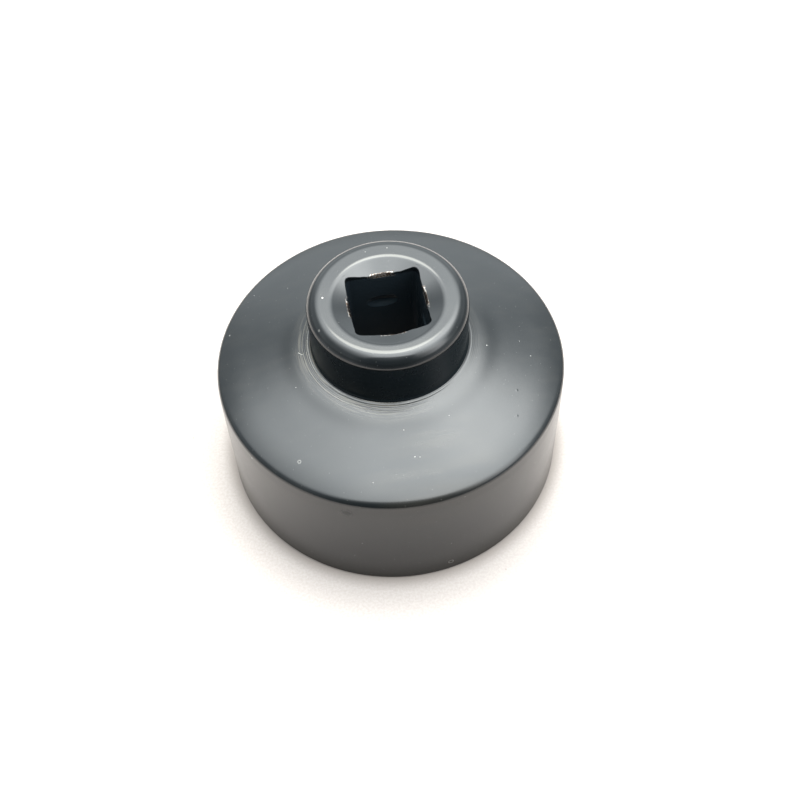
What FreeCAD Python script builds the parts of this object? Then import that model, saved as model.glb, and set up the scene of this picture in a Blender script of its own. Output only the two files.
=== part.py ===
import FreeCAD, Part
import math
import os

os.makedirs("parts", exist_ok=True)

# Cup-type oil filter wrench for the 36 mm hexagon of a canister filter's cap, turned by a
# 3/8 inch square drive.
# Frame: origin at the centre of the open rim, +Z up through the crown to the drive hub.
# The square's sides lie along X and Y, and two corners of the hexagon lie on X.
# All sizes are in millimetres and all angles in degrees.

# Skirt and crown
skirt_radius = 23.75
skirt_corner_height = 19.46     # where the lines of the skirt and of the crown's cone cross
crown_slope = 16.87             # above the horizontal
crown_edge_round = 0.95
rim_edge_break = 0.25

# Hexagon and the hollow above it
hexagon_across_flats = 36.3
hexagon_corner_round = 1.0
hexagon_depth = 15.0
lead_in_radius = 21.7
lead_in_depth = 2.0
ceiling_height = 17.2
ceiling_radius = 12.5

# Drive hub
hub_top = 32.16
hub_top_radius = 10.57
hub_foot_radius = 10.38         # the hub's side tapers in by this much towards its foot
hub_edge_round = 1.83
hub_seat_height = 20.9          # the shoulder that rests in the crown
hub_seat_radius = 10.65
spigot_radius = 8.6
spigot_end_chamfer = 0.4

# Square drive
square_side = 9.74
square_corner_round = 0.48
countersink_radius = 7.41
countersink_slope = 22.3        # below the horizontal
pilot_radius = 5.27             # drilled start of the square, wider than its flats
pilot_depth = 1.0               # over which the drilled start narrows to the flats
detent_depth = 6.1              # from the hub's top to the middle of the detent groove
detent_radius = 5.68
detent_round = 2.0

# Weld between hub and crown, turned down to a flare
weld_radius = 12.6
flare_corner_radius = 11.65
flare_slope = 24.0
flare_round = 15.3
foot_fillet = 0.42

overshoot = 5.0                 # how far the cutting solids run past the metal

origin = FreeCAD.Vector(0, 0, 0)
up = FreeCAD.Vector(0, 0, 1)


def slope(angle):
    return math.tan(math.radians(angle))


def cone_height(radius):
    """Height of the crown's outer cone at a radius."""
    return skirt_corner_height + (skirt_radius - radius) * slope(crown_slope)


flare_corner_height = cone_height(flare_corner_radius)


def flare_height(radius):
    """Height of the steeper part of the flare at a radius."""
    return flare_corner_height + (flare_corner_radius - radius) * slope(flare_slope)


def arc_at(before, corner, after, rounding):
    """Arc of the given radius that is tangent to both sides of a corner."""
    towards_before = (before - corner).normalize()
    towards_after = (after - corner).normalize()
    half_angle = towards_before.getAngle(towards_after) / 2
    tangent_length = rounding / math.tan(half_angle)
    middle_direction = (towards_before + towards_after).normalize()
    middle_distance = rounding / math.sin(half_angle) - rounding
    start = corner + towards_before * tangent_length
    middle = corner + middle_direction * middle_distance
    end = corner + towards_after * tangent_length
    return start, middle, end


def turned(corners):
    """Solid turned about Z. Each corner of its section is (radius, height, rounding)."""
    points = [FreeCAD.Vector(radius, 0, height) for radius, height, rounding in corners]
    roundings = [rounding for radius, height, rounding in corners]
    stops = []
    for index, corner in enumerate(points):
        if roundings[index]:
            after = points[(index + 1) % len(points)]
            stops.append(arc_at(points[index - 1], corner, after, roundings[index]))
        else:
            stops.append((corner, None, corner))
    edges = []
    for index, (start, middle, end) in enumerate(stops):
        if middle:
            edges.append(Part.Arc(start, middle, end).toShape())
        edges.append(Part.LineSegment(end, stops[(index + 1) % len(stops)][0]).toShape())
    section = Part.Face(Part.Wire(edges))
    return section.revolve(origin, up, 360)


def prism(sides, across_flats, corner_round, first_corner_angle, bottom, top):
    """Upright regular prism with its upright edges rounded."""
    corner_radius = across_flats / 2 / math.cos(math.pi / sides)
    corners = []
    for index in range(sides):
        angle = math.radians(first_corner_angle) + 2 * math.pi * index / sides
        corners.append(FreeCAD.Vector(corner_radius * math.cos(angle),
                                      corner_radius * math.sin(angle), bottom))
    face = Part.Face(Part.makePolygon(corners + corners[:1]))
    solid = face.extrude(up * (top - bottom))
    upright = [edge for edge in solid.Edges if abs(edge.Length - (top - bottom)) < 1e-6
               and abs(edge.tangentAt(edge.FirstParameter).z) > 0.999]
    return solid.makeFillet(corner_round, upright)


def cavity():
    """Hollow of the cup: lead-in, hexagon and the cone that runs up to the ceiling."""
    flat_distance = hexagon_across_flats / 2
    lead_in_slope = (lead_in_radius - flat_distance) / lead_in_depth
    lead_in = turned([
        (0, -overshoot, 0),
        (lead_in_radius + overshoot * lead_in_slope, -overshoot, 0),
        (flat_distance, lead_in_depth, 0),
        (0, lead_in_depth, 0),
    ])
    hexagon = prism(6, hexagon_across_flats, hexagon_corner_round, 0, -overshoot, hexagon_depth)
    roof = turned([
        (0, hexagon_depth - 1, 0),
        (flat_distance - 0.1, hexagon_depth - 1, 0),
        (flat_distance - 0.1, hexagon_depth, 0),
        (ceiling_radius, ceiling_height, 0),
        (0, ceiling_height, 0),
    ])
    return lead_in.fuse([hexagon, roof])


def cup_shell():
    """Skirt and conical crown, with the hub's seat and the weld's groove in its top."""
    outside = turned([
        (spigot_radius, 0, 0),
        (skirt_radius - rim_edge_break, 0, 0),
        (skirt_radius, rim_edge_break, 0),
        (skirt_radius, skirt_corner_height, crown_edge_round),
        (weld_radius, cone_height(weld_radius), 0),
        (hub_seat_radius, hub_seat_height, 0),
        (spigot_radius, hub_seat_height, 0),
    ])
    return outside.cut(cavity())


def square_drive():
    """Hollow of the square drive: countersink, drilled start, square and detent groove."""
    flat_distance = square_side / 2
    countersink = turned([
        (0, hub_top - countersink_radius * slope(countersink_slope), 0),
        (countersink_radius, hub_top, 0),
        (countersink_radius, hub_top + overshoot, 0),
        (0, hub_top + overshoot, 0),
    ])
    start_height = hub_top - (countersink_radius - pilot_radius) * slope(countersink_slope)
    drilled_start = turned([
        (0, start_height - pilot_depth, 0),
        (flat_distance, start_height - pilot_depth, 0),
        (pilot_radius, start_height, 0),
        (0, start_height, 0),
    ])
    square = prism(4, square_side, square_corner_round, 45, 0, hub_top + overshoot)
    detent_height = hub_top - detent_depth
    detent = Part.makeTorus(detent_radius - detent_round, detent_round,
                            FreeCAD.Vector(0, 0, detent_height), up)
    return square.fuse([countersink, drilled_start, detent])


def drive_hub():
    """Turned boss that takes the square drive. Its spigot is pressed into the crown."""
    boss = turned([
        (0, ceiling_height, 0),
        (spigot_radius - spigot_end_chamfer, ceiling_height, 0),
        (spigot_radius, ceiling_height + spigot_end_chamfer, 0),
        (spigot_radius, hub_seat_height, 0),
        (hub_seat_radius, hub_seat_height, 0),
        (hub_seat_radius, flare_height(hub_seat_radius), 0),
        (hub_foot_radius, flare_height(hub_foot_radius), foot_fillet),
        (hub_top_radius, hub_top, hub_edge_round),
        (0, hub_top, 0),
    ])
    return boss.cut(square_drive())


def hub_weld():
    """Weld that fills the groove round the hub, turned to a flare with the crown."""
    return turned([
        (hub_seat_radius, hub_seat_height, 0),
        (weld_radius, cone_height(weld_radius), 0),
        (flare_corner_radius, flare_corner_height, flare_round),
        (hub_seat_radius, flare_height(hub_seat_radius), 0),
    ])


for make_piece in (cup_shell, drive_hub, hub_weld):
    piece = make_piece()
    piece.exportStep("parts/" + make_piece.__name__ + ".step")
    print(make_piece.__name__, "volume", round(piece.Volume, 1), "solids", len(piece.Solids))
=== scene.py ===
import math

import bpy
import numpy as np
from mathutils import Matrix, Vector


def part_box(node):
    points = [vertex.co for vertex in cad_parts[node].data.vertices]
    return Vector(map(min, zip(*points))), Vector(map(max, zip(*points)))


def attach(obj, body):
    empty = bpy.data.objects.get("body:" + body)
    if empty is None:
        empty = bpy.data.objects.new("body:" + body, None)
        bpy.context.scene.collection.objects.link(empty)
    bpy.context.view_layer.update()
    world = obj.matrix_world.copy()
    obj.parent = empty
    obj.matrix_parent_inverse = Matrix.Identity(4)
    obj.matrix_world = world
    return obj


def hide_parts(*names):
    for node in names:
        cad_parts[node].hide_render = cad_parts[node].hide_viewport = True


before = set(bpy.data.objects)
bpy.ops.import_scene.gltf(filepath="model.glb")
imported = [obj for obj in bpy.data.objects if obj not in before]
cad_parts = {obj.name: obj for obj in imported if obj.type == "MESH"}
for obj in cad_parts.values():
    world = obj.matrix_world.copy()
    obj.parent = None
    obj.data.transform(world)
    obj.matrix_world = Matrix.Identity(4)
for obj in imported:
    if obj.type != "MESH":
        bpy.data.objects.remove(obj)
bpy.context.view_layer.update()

MM = 0.001

# --------------------------------------------------------------------------------------
# Sizes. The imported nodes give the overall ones. The rest are the details of the hollows and
# of the finish.
# --------------------------------------------------------------------------------------
shell_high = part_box("cup_shell")[1]
hub_low, hub_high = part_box("drive_hub")
weld_low, weld_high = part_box("hub_weld")

skirt_radius = shell_high.x
hub_top = hub_high.z
ceiling_height = hub_low.z
seat_height = weld_low.z
seat_radius = hub_high.x
weld_radius = weld_high.x

# Skirt and crown
crown_slope = 16.87             # above the horizontal, in degrees
crown_edge_round = 1.0 * MM
rim_edge_break = 0.25 * MM
draw_in = 0.05 * MM             # by which the skirt's top is smaller in radius
draw_in_height = 2.3 * MM       # over which it draws in
draw_in_round = 30 * MM
crown_inset = 0.7 * MM          # in from the skirt, where the crown's rows begin

# Hexagon and the hollow above it
hexagon_flat = 18.15 * MM       # from the axis to a flat
hexagon_corner_round = 1.0 * MM
hexagon_depth = 15.0 * MM
lead_in_radius = 21.7 * MM
lead_in_depth = 2.0 * MM
lead_in_round = 0.12 * MM
hexagon_mouth_round = 0.15 * MM
hexagon_top_row = 0.3 * MM      # supporting row below the hexagon's upper end
roof_inset = 0.1 * MM           # of the roof's foot against the hexagon's flats
ceiling_radius = 12.5 * MM
ceiling_round = 0.8 * MM
spigot_hole_round = 0.1 * MM

# Hub
hub_top_radius = 10.63 * MM
hub_foot_radius = 10.46 * MM
hub_edge_round = 1.83 * MM
spigot_radius = 8.6 * MM
spigot_end_chamfer = 0.4 * MM

# Lip round the hub's foot, with a V-groove between it and the weld
foot_fillet = 0.1 * MM
lip_width = 0.10 * MM
lip_groove_depth = 0.12 * MM
lip_height = 0.05 * MM
lip_slope_width = 0.02 * MM
lip_slope_height = 0.18 * MM
side_start = 0.30 * MM          # where the hub's side begins above the crown

# Square hole
square_flat = 4.87 * MM         # from the axis to a flat
square_corner_round = 0.8 * MM
bore_offset = Vector((-0.06, -0.40, 0)) * MM    # the hole was drilled off the hub's axis
countersink_radius = 7.36 * MM
countersink_slope = math.tan(math.radians(22.3))
crease_round = 1.6 * MM
mouth_round = 0.16 * MM
mouth_blend = 0.08 * MM
mouth_wander = 0.018 * MM
pilot_radius = 5.18 * MM
pilot_depth = 0.45 * MM
pilot_blend = 0.05 * MM
start_height = hub_top - (countersink_radius - pilot_radius) * countersink_slope
detent_height = hub_top - 6.1 * MM
detent_radius = 5.3 * MM
detent_round = 1.5 * MM
detent_blend = 0.03 * MM

# Rows down the wall of the square hole. Those above wall_levels_off still follow its mouth.
first_wall_drop = 0.4 * MM
wall_levels_off = hub_top - 3.2 * MM
upper_wall_rows = 12
detent_reach = 1.9 * MM         # above and below the detent, where rows lie close together
detent_row_step = 0.12 * MM
lower_wall_start = detent_height - 2.3 * MM
lower_wall_rows = 8

# Turning marks and groove round the foot of the hub
ring_pitch = 0.22 * MM
ring_depth = 0.014 * MM
ring_zone = 1.7 * MM
ring_deepest_side = math.radians(222)
groove_radius = seat_radius + 0.22 * MM
groove_depth = 0.025 * MM
groove_width = 0.13 * MM

columns = 720
crown_rows = 50
weld_top_rows = 90
angles = np.arange(columns) * 2 * math.pi / columns
rng = np.random.default_rng(36)


# The coated crown against its cone. Places and widths are shares of the skirt's radius, and
# slopes are in degrees, positive where the crown is steeper than its cone.
collar_place, collar_width, collar_slope = 0.435, 0.025, 2.1      # against the hub
dip_place, dip_width, dip_slope = 0.508, 0.028, -1.65             # turned shallower
step_place, step_slope = 0.578, 2.45                              # back towards the cone
step_inner_width, step_outer_width = 0.030, 0.045
roll_start, roll_slope = 0.80, 8.0                                # slow roll-off to the edge
cone_place = 0.965              # where the crown is as high as its cone


def bell(offset, width):
    return np.exp(-(offset / width) ** 2)


def steeper_than_cone(share):
    """Degrees by which the crown is steeper than its cone at a share of the radius."""
    step_width = np.where(share < step_place, step_inner_width, step_outer_width)
    rolled = np.clip((share - roll_start) / (1 - roll_start), 0, None)
    return (collar_slope * bell(share - collar_place, collar_width)
            + dip_slope * bell(share - dip_place, dip_width)
            + step_slope * bell(share - step_place, step_width)
            + roll_slope * rolled ** 2)


def crown_profile():
    """Radii and heights of the crown's outside, from just inside the hub out to the skirt."""
    radii = np.linspace(hub_foot_radius - 0.3 * MM, skirt_radius, 4000)
    slopes = crown_slope + steeper_than_cone(radii / skirt_radius)
    steps = -np.tan(np.radians(slopes[1:] + slopes[:-1]) / 2) * np.diff(radii)
    heights = np.append(0, np.cumsum(steps))
    on_cone = cone_place * skirt_radius
    cone_height = shell_high.z - (on_cone - weld_radius) * math.tan(math.radians(crown_slope))
    return radii, heights + cone_height - np.interp(on_cone, radii, heights)


profile_radii, profile_heights = crown_profile()


def crown_height(radius):
    """Height of the crown's outside at a radius, from the skirt in to the hub."""
    return np.interp(radius, profile_radii, profile_heights)


# --------------------------------------------------------------------------------------
# Mesh making: a piece is a closed ring of rows, and a row has one point per column
# --------------------------------------------------------------------------------------
def rounded_polygon(sides, flat, corner_round, first_corner_angle=0.0):
    """Radius of a regular polygon with rounded corners, one value per column."""
    half_side_angle = math.pi / sides
    turned = angles - first_corner_angle
    off_flat = np.abs(np.mod(turned, 2 * half_side_angle) - half_side_angle)
    on_flat = flat / np.cos(off_flat)
    centre_distance = (flat - corner_round) / math.cos(half_side_angle)
    off_corner = half_side_angle - off_flat
    across = centre_distance * np.sin(off_corner)
    inside_arc = np.clip(corner_round ** 2 - across ** 2, 0, None)
    on_arc = centre_distance * np.cos(off_corner) + np.sqrt(inside_arc)
    arc_starts = (flat - corner_round) * math.tan(half_side_angle)
    return np.where(flat * np.tan(off_flat) > arc_starts, on_arc, on_flat)


def smooth_max(first, second, blend):
    """The larger of two values, with a soft change over from one to the other."""
    return (first + second + np.sqrt((first - second) ** 2 + blend ** 2)) / 2


def as_points(radius, height):
    return np.stack([np.broadcast_to(radius, columns),
                     np.broadcast_to(height, columns)], axis=-1).astype(float)


def unit(vectors):
    return vectors / np.linalg.norm(vectors, axis=-1, keepdims=True)


def arc_rows(start, centre, end, sweep, steps):
    """Rows along an arc about the centre, from its start to its end."""
    rows = []
    for step in range(steps + 1):
        share = step / steps
        rows.append(centre + (np.sin((1 - share) * sweep) * (start - centre)
                              + np.sin(share * sweep) * (end - centre)) / np.sin(sweep))
    return rows


def outline(corners, arc_step=7.0, support=0.07 * MM):
    """Rows round a closed section. Each corner is (radius, height, rounding), and a rounded
    one also gets a supporting row just before and after its arc."""
    points = [as_points(radius, height) for radius, height, rounding in corners]
    rows = []
    for index, (radius, height, rounding) in enumerate(corners):
        corner = points[index]
        if not rounding:
            rows.append(corner)
            continue
        before = unit(points[index - 1] - corner)
        after = unit(points[(index + 1) % len(points)] - corner)
        between = np.arccos(np.clip((before * after).sum(-1, keepdims=True), -1, 1))
        tangent = rounding / np.tan(between / 2)
        centre = corner + unit(before + after) * rounding / np.sin(between / 2)
        start = corner + before * tangent
        end = corner + after * tangent
        sweep = math.pi - between
        steps = max(3, round(math.degrees(sweep.max()) / arc_step))
        rows.append(start + before * support)
        rows += arc_rows(start, centre, end, sweep, steps)
        rows.append(end + after * support)
    return rows


def ring_mesh(name, rows, material, bore_shift=(0, 0, 0)):
    """Closed ring of quads through the rows. Those of the hole and its countersink are moved
    by the shift."""
    count = len(rows)
    section = np.stack(rows)
    points = np.stack([section[..., 0] * np.cos(angles),
                       section[..., 0] * np.sin(angles),
                       section[..., 1]], axis=-1)
    in_bore = section[..., 0].max(axis=1) < spigot_radius - spigot_end_chamfer
    points[in_bore] += bore_shift
    row, column = np.meshgrid(np.arange(count), np.arange(columns), indexing="ij")
    next_row = (row + 1) % count
    next_column = (column + 1) % columns
    faces = np.stack([row * columns + column, row * columns + next_column,
                      next_row * columns + next_column, next_row * columns + column], axis=-1)
    mesh = bpy.data.meshes.new(name)
    mesh.from_pydata(points.reshape(-1, 3).tolist(), [], faces.reshape(-1, 4).tolist())
    mesh.shade_smooth()
    mesh.set_sharp_from_angle(angle=math.radians(32))
    mesh.materials.append(material)
    return mesh


def cover_side(mesh, material, side_radius, side_top):
    """Give the faces beyond the side's radius and below its top another material."""
    mesh.materials.append(material)
    for face in mesh.polygons:
        outer = math.hypot(*face.center.xy) > side_radius
        face.material_index = int(outer and face.center.z < side_top)


def add_piece(mesh, node):
    """Put a mesh in the scene as a piece that stands for a CAD node."""
    piece = bpy.data.objects.new(mesh.name, mesh)
    bpy.context.scene.collection.objects.link(piece)
    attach(piece, "root")
    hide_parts(node)


# --------------------------------------------------------------------------------------
# Pieces
# --------------------------------------------------------------------------------------
def cup_rows():
    """Skirt, crown, weld groove, spigot hole, ceiling, hexagon, lead-in and rim."""
    hexagon = rounded_polygon(6, hexagon_flat, hexagon_corner_round)
    lead_in_slope = (lead_in_radius - hexagon_flat) / lead_in_depth
    mouth_height = (lead_in_radius - hexagon) / lead_in_slope
    edge_height = crown_height(skirt_radius)
    crown = [(radius, crown_height(radius), 0)
             for radius in np.linspace(skirt_radius - crown_inset, weld_radius, crown_rows)]
    return outline([
        (lead_in_radius, 0, lead_in_round),
        (skirt_radius - rim_edge_break / 2, 0, rim_edge_break / 2),
        (skirt_radius, rim_edge_break, rim_edge_break),
        (skirt_radius, edge_height - draw_in_height, draw_in_round),
        (skirt_radius - draw_in, edge_height, crown_edge_round),
        *crown,
        (seat_radius, seat_height, 0),
        (spigot_radius, seat_height, 0),
        (spigot_radius, ceiling_height, spigot_hole_round),
        (ceiling_radius, ceiling_height, ceiling_round),
        (hexagon_flat - roof_inset, hexagon_depth, 0),
        (hexagon, hexagon_depth, 0),
        (hexagon, hexagon_depth - hexagon_top_row, 0),
        (hexagon, mouth_height, hexagon_mouth_round),
    ])


def hub_wall(square, height):
    """Radius of the square hole at a height: flats, drilled start and detent groove."""
    narrowing = (pilot_radius - square_flat) / pilot_depth
    pilot = pilot_radius - (start_height - height) * narrowing
    below_pilot = height < start_height - 1.3 * pilot_depth
    wall = np.where(below_pilot, square, smooth_max(square, pilot, pilot_blend))
    inside_groove = np.clip(detent_round ** 2 - (height - detent_height) ** 2, 0, None)
    groove = detent_radius - detent_round + np.sqrt(inside_groove)
    return np.where(groove > square_flat, smooth_max(wall, groove, detent_blend), wall)


def hub_wall_heights(mouth_height):
    """Heights of the hole's rows, from below its mouth to the ceiling of the cup."""
    first_wall = mouth_height - first_wall_drop
    heights = [first_wall + (wall_levels_off - first_wall) * share
               for share in np.linspace(0, 1, upper_wall_rows)]
    heights += list(np.arange(detent_height + detent_reach, detent_height - detent_reach,
                              -detent_row_step))
    heights += list(np.linspace(lower_wall_start, ceiling_height, lower_wall_rows))
    return heights


def hub_mouth(square):
    """Radius of the square hole's mouth, which the drill left slightly uneven."""
    starts = rng.uniform(0, 2 * math.pi, 4)
    wander = sum(np.sin(turns * angles + start) for turns, start in zip((9, 14, 23, 37), starts))
    return smooth_max(square, pilot_radius, mouth_blend) + mouth_wander * wander


def hub_rows():
    """Spigot, seat, lip, tapered side, rounded top, countersink and square hole."""
    square = rounded_polygon(4, square_flat, square_corner_round, math.radians(45))
    mouth = hub_mouth(square)
    mouth_height = hub_top - (countersink_radius - mouth) * countersink_slope
    foot_height = crown_height(hub_foot_radius)
    wall = [(hub_wall(square, height), height, 0) for height in hub_wall_heights(mouth_height)]
    countersink = [(countersink_radius + (mouth - countersink_radius) * share,
                    hub_top + (mouth_height - hub_top) * share, 0)
                   for share in (0.4, 0.6, 0.8)]
    return outline([
        (spigot_radius - spigot_end_chamfer, ceiling_height, 0),
        (spigot_radius, ceiling_height + spigot_end_chamfer, 0),
        (spigot_radius, seat_height, 0),
        (seat_radius, seat_height, 0),
        (seat_radius, crown_height(seat_radius), 0),
        (hub_foot_radius + lip_width, foot_height - lip_groove_depth, 0),
        (hub_foot_radius + lip_width, foot_height + lip_height, 0),
        (hub_foot_radius + lip_slope_width, foot_height + lip_slope_height, 0),
        (hub_foot_radius, foot_height + side_start, foot_fillet),
        (hub_top_radius, hub_top, hub_edge_round),
        (countersink_radius, hub_top, crease_round),
        *countersink,
        (mouth, mouth_height, mouth_round),
        *wall,
    ], arc_step=5.0)


def weld_rows():
    """Weld ring with its turned flare. The turning marks fade out away from the hub."""
    deeper_side = np.clip(np.cos(angles - ring_deepest_side), 0, 1)
    top = []
    for radius in np.linspace(weld_radius, seat_radius, weld_top_rows):
        off_hub = radius - seat_radius
        near_hub = np.clip(1 - off_hub / ring_zone, 0, 1)
        wave = 0.5 - 0.5 * math.cos(2 * math.pi * off_hub / ring_pitch)
        fade = near_hub ** 0.6 * (0.3 + 0.7 * deeper_side ** 2)
        groove = groove_depth * bell(radius - groove_radius, groove_width)
        top.append((radius, crown_height(radius) - ring_depth * wave * fade - groove, 0))
    return outline([(seat_radius, seat_height, 0), *top])


# --------------------------------------------------------------------------------------
# Materials
# --------------------------------------------------------------------------------------
class Graph:
    """Short calls that add nodes to one node tree."""

    def __init__(self, tree):
        self.tree = tree
        tree.nodes.clear()

    def node(self, kind, inputs=(), **settings):
        made = self.tree.nodes.new("ShaderNode" + kind)
        for name, value in settings.items():
            setattr(made, name, value)
        for name, value in dict(inputs).items():
            self.feed(made.inputs[name], value)
        return made

    def feed(self, socket, value):
        if isinstance(value, bpy.types.NodeSocket):
            self.tree.links.new(value, socket)
        else:
            socket.default_value = value

    def output(self, kind, shader):
        """End the tree with a shader's result."""
        made = self.node(kind)
        self.tree.links.new(shader.outputs[0], made.inputs["Surface"])

    def math(self, operation, *values):
        made = self.node("Math", operation=operation)
        for socket, value in zip(made.inputs, values):
            self.feed(socket, value)
        return made.outputs[0]

    def chain(self, operation, first, *others):
        """One operation over all the values in turn."""
        for other in others:
            first = self.math(operation, first, other)
        return first

    def weighted(self, total, *terms):
        """A total with terms added, each a value and its weight."""
        for value, weight in terms:
            total = self.math("MULTIPLY_ADD", value, weight, total)
        return total

    def span(self, value, low, high, to_low=0.0, to_high=1.0):
        """Smooth step from to_low to to_high as the value goes from low to high."""
        made = self.node("MapRange", interpolation_type="SMOOTHSTEP",
                         inputs={"Value": value, "From Min": low, "From Max": high,
                                 "To Min": to_low, "To Max": to_high})
        return made.outputs["Result"]

    def mix(self, factor, first, second, blend_type="MIX"):
        made = self.node("Mix", data_type="RGBA", blend_type=blend_type)
        self.feed(made.inputs[0], factor)
        self.feed(made.inputs[6], first)
        self.feed(made.inputs[7], second)
        return made.outputs[2]

    def layered(self, colour, *layers):
        """A colour under layers, each a share and the colour it covers with."""
        for share, cover in layers:
            colour = self.mix(share, colour, cover)
        return colour

    def axes(self, position):
        """Sockets X, Y and Z of a position."""
        return self.node("SeparateXYZ", inputs={0: position}).outputs

    def vector(self, operation, *values):
        """Vector result of an operation on vectors."""
        return self.node("VectorMath", dict(enumerate(values)), operation=operation).outputs[0]

    def scaled(self, vector, factor):
        made = self.node("VectorMath", operation="SCALE", inputs={0: vector, "Scale": factor})
        return made.outputs[0]

    def dot(self, first, second):
        made = self.node("VectorMath", operation="DOT_PRODUCT", inputs={0: first, 1: second})
        return made.outputs["Value"]

    def distance(self, position, place):
        made = self.node("VectorMath", operation="DISTANCE", inputs={0: position, 1: place})
        return made.outputs["Value"]

    def noise(self, position, size, detail=2.0, roughness=0.5, output="Fac"):
        """Noise with features of the given size, from 0 to 1."""
        made = self.node("TexNoise", inputs={"Vector": position, "Scale": 1 / size,
                                             "Detail": detail, "Roughness": roughness})
        return made.outputs[output]

    def specks(self, position, spacing, radius):
        """Round specks of about the radius, 1 inside and 0 outside."""
        made = self.node("TexVoronoi", inputs={"Vector": position, "Scale": 1 / spacing})
        edge = radius / spacing
        return self.span(made.outputs["Distance"], edge * 1.3, edge * 0.7)


def new_material(name):
    material = bpy.data.materials.new(name)
    material.use_nodes = True
    return material, Graph(material.node_tree)


# Tones of the coating and of what lies on it
black_tones = (0.0034, 0.0048, 0.0058, 1), (0.0046, 0.0060, 0.0070, 1)
bluish_tones = (0.0048, 0.0078, 0.0095, 1), (0.0058, 0.0088, 0.0108, 1)
# Painted shade: the tone that the skirt darkens to towards the table.
foot_shade_tone = (0.0004, 0.0005, 0.0006, 1)
film_tone = (0.0125, 0.0118, 0.0100, 1)
haze_tone = (0.0170, 0.0170, 0.0155, 1)
# Painted sheen on the pale arcs of the turning marks round the hub.
streak_sheen_tone = (0.075, 0.069, 0.056, 1)
dust_tone = (0.42, 0.41, 0.38, 1)
# Painted light: a paler bluish tone that lifts the black inside the square hole.
hole_lift_tone = (0.014, 0.020, 0.025, 1)
bright_steel = (0.34, 0.32, 0.30, 1)
stained_steel = (0.09, 0.055, 0.035, 1)


def crown_place(share, azimuth):
    """Point on the crown or on the hub's top, its radius given as a share of the skirt's."""
    radius = share * skirt_radius
    height = crown_height(radius) if radius > hub_top_radius else hub_top
    return Vector((radius * math.cos(math.radians(azimuth)),
                   radius * math.sin(math.radians(azimuth)), height))


def skirt_place(azimuth, height):
    return Vector((skirt_radius * math.cos(math.radians(azimuth)),
                   skirt_radius * math.sin(math.radians(azimuth)), height))


# Single marks on the coating: place, radius and brightness. The fibre is a short row of them,
# and the chip is on the hub's rounded edge.
fibre = [(crown_place(0.50 + 0.006 * step, 181 - 0.75 * step), 0.08 * MM, 0.85)
         for step in range(4)]
hub_chip = crown_place(0.42, 200) - Vector((0, 0, 0.45 * MM))
flecks = (
    *fibre,
    (hub_chip, 0.22 * MM, 0.14),
    (crown_place(0.35, 170), 0.15 * MM, 1.0),
    (crown_place(0.35, 80), 0.07 * MM, 0.6),
    (crown_place(0.32, 270), 0.06 * MM, 0.5),
    (crown_place(0.55, 345), 0.10 * MM, 0.6),
    (crown_place(0.60, 200), 0.08 * MM, 0.5),
    (crown_place(0.60, 267), 0.09 * MM, 0.6),
    (crown_place(0.75, 270), 0.09 * MM, 0.7),
    (crown_place(0.80, 345), 0.08 * MM, 0.5),
    (crown_place(0.95, 160), 0.15 * MM, 0.25),
    (skirt_place(210, 18.3 * MM), 0.14 * MM, 0.8),
    (skirt_place(250, 9.5 * MM), 0.10 * MM, 0.3),
    (skirt_place(260, 5.5 * MM), 0.07 * MM, 0.3),
)
dried_drops = ((crown_place(0.88, 226), 0.20 * MM), (skirt_place(279, 2 * MM), 0.34 * MM))
bumps = ((crown_place(0.77, 326), 0.22 * MM), (crown_place(0.84, 316), 0.20 * MM))
smudge_place = skirt_place(246, 17 * MM)
wipe_place = crown_place(0.75, 275)
wipe_turn = math.radians(35)            # by which the strokes of the cloth are turned
wipe_squeeze = (0.16, 1.0, 1.0)         # strokes are about six times as long as wide
ragged_size = 0.25 * MM
ragged_reach = 0.12 * MM


def single_marks(g, position):
    """Flecks of lint and the rims of dried drops, from 0 to 1."""
    shift = g.noise(position, ragged_size, output="Color")
    ragged = g.vector("MULTIPLY_ADD", shift, [ragged_reach] * 3, position)
    uneven = g.vector("SUBTRACT", ragged, [ragged_reach / 2] * 3)
    marks = [g.span(g.distance(uneven, place), radius, 0.5 * radius, 0.0, brightness)
             for place, radius, brightness in flecks]
    for place, radius in dried_drops:
        off_rim = g.math("ABSOLUTE", g.math("SUBTRACT", g.distance(uneven, place), radius))
        marks.append(g.span(off_rim, 0.10 * MM, 0.03 * MM, 0.0, 0.2))
    return g.chain("MAXIMUM", *marks)


def coat_dirt(g, position):
    """Dust, lint and the single marks, from 0 to 1."""
    dust = g.math("MULTIPLY", g.specks(position, 2.6 * MM, 0.07 * MM), 0.35)
    lint = g.math("MULTIPLY", g.specks(position, 0.7 * MM, 0.03 * MM), 0.25)
    return g.chain("MAXIMUM", dust, lint, single_marks(g, position))


def wipe_marks(g, position, wiped_share):
    """Haze in strokes and the film between them, both strongest round the wiped place."""
    strokes = g.node("Mapping", inputs={"Vector": position, "Rotation": (0, 0, wipe_turn),
                                        "Scale": wipe_squeeze}).outputs[0]
    off_place = g.distance(position, wipe_place)
    wipes = g.span(g.noise(strokes, 1.3 * MM, detail=4.0, roughness=0.6), 0.42, 0.72)
    hazed = g.math("MULTIPLY", g.span(off_place, 9 * MM, 3 * MM, 0.2, 1.0), wiped_share)
    film = g.span(g.noise(strokes, 4.0 * MM, detail=3.0, roughness=0.55), 0.40, 0.62)
    filmed = g.span(off_place, 13 * MM, 4 * MM, 0.0, wiped_share)
    return g.math("MULTIPLY", wipes, hazed), g.math("MULTIPLY", film, filmed)


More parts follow.
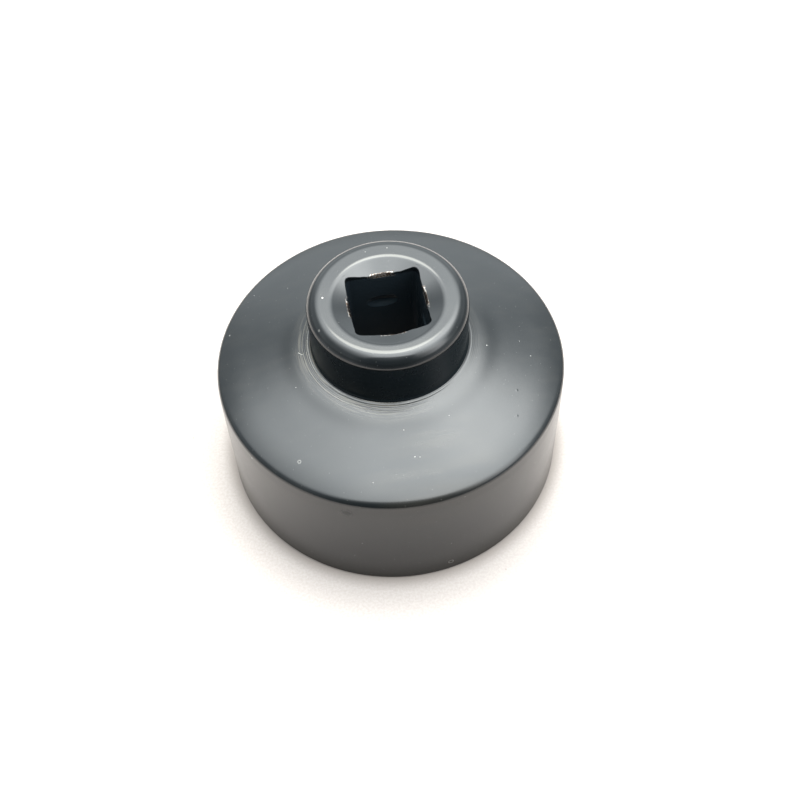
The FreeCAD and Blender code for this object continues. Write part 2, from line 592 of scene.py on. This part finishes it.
def turning_marks_and_sheen(g, position):
    """Turning marks round the hub, strongest on one side, from 0 to 1. They make real bumps, and
    their pale arcs in the colour are a painted sheen.
    """
    axes = g.axes(position)
    flat = g.node("CombineXYZ", inputs={"X": axes["X"], "Y": axes["Y"]}).outputs[0]
    radius = g.node("VectorMath", operation="LENGTH", inputs={0: flat}).outputs["Value"]
    azimuth = g.math("ARCTAN2", axes["Y"], axes["X"])
    unrolled = g.node("CombineXYZ", inputs={"X": radius,
                                            "Y": g.math("MULTIPLY", azimuth, 0.5 * MM)})
    lines = g.span(g.noise(unrolled.outputs[0], 0.20 * MM, detail=1.0), 0.42, 0.66)
    strongest = math.radians(216)
    off_strongest = g.dot(g.vector("NORMALIZE", flat),
                          (math.cos(strongest), math.sin(strongest), 0))
    side = g.span(off_strongest, 0.15, 0.95, 0.12, 1.0)
    near_hub = g.span(radius, 1.28 * seat_radius, 1.04 * seat_radius)
    below_hub = g.span(axes["Z"], shell_high.z + 2.5 * MM, shell_high.z + 1.5 * MM)
    outside = g.span(radius, seat_radius - 0.08 * MM, seat_radius)
    return g.chain("MULTIPLY", lines, side, near_hub, below_hub, outside)


def orange_peel(g, position, fine, streaks):
    """Height of the coating's surface: swell, peel, lumps and turning marks."""
    waves = g.noise(position, 1.3 * MM, detail=1.0)
    swell = g.noise(position, 5.0 * MM, detail=1.0)
    lumps = [(g.span(g.distance(position, place), radius, 0.0), 3.0) for place, radius in bumps]
    return g.weighted(swell, (waves, 0.25), (fine, 0.03), *lumps, (streaks, 0.35))


def drilled_start(g, position):
    """Where the drill bared the steel at the middles of the square's sides, and the inside of
    the hole, which gets a paler bluish tone as painted light.
    """
    axes = g.axes(g.vector("SUBTRACT", position, bore_offset))
    across = g.math("ABSOLUTE", axes["X"])
    along = g.math("ABSOLUTE", axes["Y"])
    distance = g.math("MAXIMUM", across, along)
    off_middle = g.math("MINIMUM", across, along)
    reach = g.math("MULTIPLY", g.noise(position, 0.45 * MM, detail=3.0), 3.0 * MM)
    middle = g.span(g.math("SUBTRACT", off_middle, reach), 0.25 * MM, -0.25 * MM)
    near_edge = g.span(distance, pilot_radius + 0.1 * MM, pilot_radius)
    upper = g.span(axes["Z"], start_height - pilot_depth - 0.1 * MM,
                   start_height - pilot_depth + 0.1 * MM)
    below = g.span(axes["Z"], start_height - 0.05 * MM, start_height - 0.35 * MM)
    within = g.span(distance, 6.5 * MM, 6.3 * MM)
    return g.chain("MULTIPLY", near_edge, upper, middle), g.math("MULTIPLY", below, within)


def bared_steel(g, position):
    streaks = g.noise(position, 0.25 * MM, detail=2.0)
    return g.mix(g.span(streaks, 0.4, 0.6), bright_steel, stained_steel)


def coat_material(name, smoothest, roughest, peel, shine=0.5, wiped_share=1.0,
                  tones=black_tones, shaded_foot=False, drilled=False):
    """Baked black coating over steel, with orange peel, faint smudges and dust."""
    material, g = new_material(name)
    position = g.node("TexCoord").outputs["Object"]
    broad = g.noise(position, 7 * MM, detail=3.0)
    fine = g.noise(position, 0.5 * MM, detail=3.0)
    dirt = coat_dirt(g, position)
    haze, film = wipe_marks(g, position, wiped_share)
    # Turning marks: real bumps, and a painted sheen in the colour.
    streaks = turning_marks_and_sheen(g, position)
    smudge = g.span(g.distance(position, smudge_place), 1.1 * MM, 0.2 * MM)
    tone = g.mix(broad, *tones)
    # Painted shade: the tone darkens towards the table, from 14 mm down to 2 mm.
    if shaded_foot:
        shade_near_rim = g.span(g.axes(position)["Z"], 14 * MM, 2 * MM)
        tone = g.mix(shade_near_rim, tone, foot_shade_tone)
    colour = g.layered(tone, (film, film_tone), (haze, haze_tone), (streaks, streak_sheen_tone),
                       (dirt, dust_tone))
    roughness = g.weighted(g.span(broad, 0.3, 0.7, smoothest, roughest),
                           (fine, 0.03), (dirt, 0.4), (haze, 0.04), (smudge, 0.25))
    bare = 0.0
    if drilled:
        bare, inside = drilled_start(g, position)
        # Painted light lifts the black inside the hole. The bared steel is real.
        colour = g.layered(colour, (inside, hole_lift_tone), (bare, bared_steel(g, position)))
        roughness = g.weighted(roughness, (bare, 0.2))
    height = orange_peel(g, position, fine, streaks)
    bump = g.node("Bump", inputs={"Height": height, "Distance": peel, "Strength": 1.0})
    g.output("OutputMaterial", g.node("BsdfPrincipled", inputs={
        "Base Color": colour, "Metallic": bare, "Roughness": roughness, "IOR": 1.5,
        "Specular IOR Level": shine, "Normal": bump.outputs[0]}))
    return material


def floor_material():
    """Matt white table with faint grain and a few crumbs, and a painted contact shadow that
    darkens it close to the rim.
    """
    material, g = new_material("table_white")
    position = g.node("TexCoord").outputs["Object"]
    grain = g.span(g.noise(position, 0.35 * MM, detail=3.0, roughness=0.7), 0.3, 0.7)
    colour = g.mix(grain, (0.345, 0.312, 0.294, 1), (0.397, 0.360, 0.339, 1))
    crumbs = g.math("MULTIPLY", g.specks(position, 5 * MM, 0.13 * MM), 0.5)
    # Painted contact shadow: the table's colour darkens close to the wrench's rim.
    painted_contact_shadow = g.span(g.distance(position, (0, 0, 0)), skirt_radius + 2.4 * MM,
                       skirt_radius - 0.5 * MM)
    colour = g.layered(colour, (crumbs, (0.14, 0.12, 0.10, 1)),
                       (painted_contact_shadow, (0.212, 0.187, 0.170, 1)))
    g.output("OutputMaterial", g.node("BsdfPrincipled", inputs={
        "Base Color": colour, "Roughness": 0.9, "Specular IOR Level": 0.2}))
    return material


# --------------------------------------------------------------------------------------
# Stage, light and camera
# --------------------------------------------------------------------------------------
view_azimuth = math.radians(-8.0)       # how far the camera stands round from -Y


def direction(azimuth, elevation):
    """Unit vector. Azimuth 0 is the way the camera looks, and 90 is to its right."""
    azimuth = math.radians(azimuth) - view_azimuth
    elevation = math.radians(elevation)
    return (math.sin(azimuth) * math.cos(elevation),
            math.cos(azimuth) * math.cos(elevation), math.sin(elevation))


def make_floor():
    """Table top, wider at its far end."""
    near, near_side = -2.8 * skirt_radius, 3.2 * skirt_radius
    far, far_side = 9.0 * skirt_radius, 6.5 * skirt_radius
    mesh = bpy.data.meshes.new("floor")
    mesh.from_pydata([(-near_side, near, 0), (near_side, near, 0), (far_side, far, 0),
                      (-far_side, far, 0)], [], [(0, 1, 2, 3)])
    mesh.materials.append(floor_material())
    floor = bpy.data.objects.new("floor", mesh)
    floor.rotation_euler.z = view_azimuth
    bpy.context.scene.collection.objects.link(floor)


# Each light patch: azimuth, elevation, radius where it is full, radius where it ends, all in
# degrees, then its strength and its colour
patches = (
    (-4.5, 67, 11, 15, 9.0, (1.0, 0.99, 0.87)),         # lamp ahead of the camera
    (45, 65, 2, 23, 3.6, (1.0, 1.0, 0.97)),             # brighter side, to the right
    (126, 32, 2, 27, 4.4, (1.0, 1.0, 1.0)),             # window behind on the right
    (162, 66, 10, 13, 2.9, (1.0, 1.0, 1.0)),            # rim of the ceiling over the camera
)
overhead_colour = (0.955, 1.0, 1.01)
horizon_colour = (0.93, 1.0, 1.03)


def patch(g, looking, azimuth, elevation, full, end):
    """Round patch of the world, 1 up to its full radius and 0 beyond its end."""
    return g.span(g.dot(looking, direction(azimuth, elevation)), math.cos(math.radians(end)),
                  math.cos(math.radians(full)))


def open_light(g, looking):
    """Soft overhead light, a pale horizon that dims next to the table, and the patches."""
    overhead = g.math("MULTIPLY", patch(g, looking, 56, 87, 5, 58), 7.8)
    ahead = g.dot(looking, direction(0, 0))
    above_table = g.span(g.dot(looking, direction(0, 90)), math.sin(math.radians(3)),
                         math.sin(math.radians(15)), 0.5, 1.0)
    horizon = g.math("MULTIPLY", g.math("MULTIPLY_ADD", ahead, 0.1, 2.0), above_table)
    light = g.mix(1.0, g.scaled(overhead_colour, overhead), g.scaled(horizon_colour, horizon),
                  blend_type="ADD")
    for azimuth, elevation, full, end, strength, colour in patches:
        share = g.math("MULTIPLY", patch(g, looking, azimuth, elevation, full, end), strength)
        light = g.mix(1.0, light, g.scaled(colour, share), blend_type="ADD")
    return light


def dark_share(g, looking):
    """How much of the light is blocked: behind the camera, on its left and at both sides."""
    behind = g.math("MAXIMUM", patch(g, looking, 179, 45, 21, 34),
                    patch(g, looking, 180, 21, 15, 70))
    left = patch(g, looking, -124, 32, 21, 55)
    sides = g.math("MAXIMUM", patch(g, looking, -66, 14, 22, 40),
                   patch(g, looking, 66, 14, 22, 40))
    return g.chain("MAXIMUM", g.math("MULTIPLY", behind, 0.9), g.math("MULTIPLY", left, 0.6),
                   g.math("MULTIPLY", sides, 0.48))


def make_world():
    world = bpy.data.worlds.new("studio")
    bpy.context.scene.world = world
    world.use_nodes = True
    g = Graph(world.node_tree)
    looking = g.node("TexCoord").outputs["Generated"]
    open_share = g.math("SUBTRACT", 1.0, dark_share(g, looking))
    lit = g.scaled(open_light(g, looking), open_share)
    g.output("OutputWorld", g.node("Background", inputs={"Color": lit}))


# Camera in front of the wrench and above it, with its angles in radians
camera_back = 4.1421 * skirt_radius
camera_height = 6.2898 * skirt_radius
camera_pitch = 0.9598
camera_yaw = 0.011
camera_roll = -0.0414
sensor_width = 36
focal_length = 53.61


def make_camera():
    data = bpy.data.cameras.new("camera")
    data.sensor_width = sensor_width
    data.lens = focal_length
    data.clip_start = 0.001
    camera = bpy.data.objects.new("camera", data)
    bpy.context.scene.collection.objects.link(camera)
    bpy.context.scene.camera = camera
    forward = Vector((math.sin(camera_yaw) * math.cos(camera_pitch),
                      math.cos(camera_yaw) * math.cos(camera_pitch), -math.sin(camera_pitch)))
    level_right = Vector((math.cos(camera_yaw), -math.sin(camera_yaw), 0))
    level_up = level_right.cross(forward)
    right = math.cos(camera_roll) * level_right + math.sin(camera_roll) * level_up
    up = math.cos(camera_roll) * level_up - math.sin(camera_roll) * level_right
    facing = Matrix((right, up, -forward)).transposed().to_4x4()
    place = Matrix.Translation(Vector((0, -camera_back, camera_height)))
    camera.matrix_world = Matrix.Rotation(view_azimuth, 4, "Z") @ place @ facing


satin = coat_material("black_coat_satin", 0.15, 0.20, 0.010 * MM)
gloss = coat_material("black_coat_gloss", 0.09, 0.13, 0.008 * MM, wiped_share=0.5, drilled=True)
# Shaded copy of the satin coating for the skirt: a little less shine, and painted shade towards
# the table.
shaded_skirt_satin = coat_material("black_coat_skirt", 0.15, 0.20, 0.010 * MM, shine=0.45,
                            shaded_foot=True)
# Shaded copy of the coating for the hub's side: its lower shine paints shade on the side, and it
# is also rougher and bluer.
shaded_side_coat = coat_material("black_coat_side", 0.22, 0.28, 0.008 * MM, shine=0.2, wiped_share=0.0,
                       tones=bluish_tones)

cup = ring_mesh("cup_shell_coated", cup_rows(), satin)
cover_side(cup, shaded_skirt_satin, skirt_radius - 0.5 * MM, crown_height(skirt_radius) - 0.45 * MM)
add_piece(cup, "cup_shell")
hub = ring_mesh("drive_hub_coated", hub_rows(), gloss, bore_offset)
cover_side(hub, shaded_side_coat, hub_foot_radius - 0.1 * MM, hub_top - hub_edge_round)
add_piece(hub, "drive_hub")
weld = ring_mesh("hub_weld_turned", weld_rows(), satin)
add_piece(weld, "hub_weld")
make_floor()
make_world()
make_camera()
bpy.context.scene.view_settings.view_transform = "Standard"
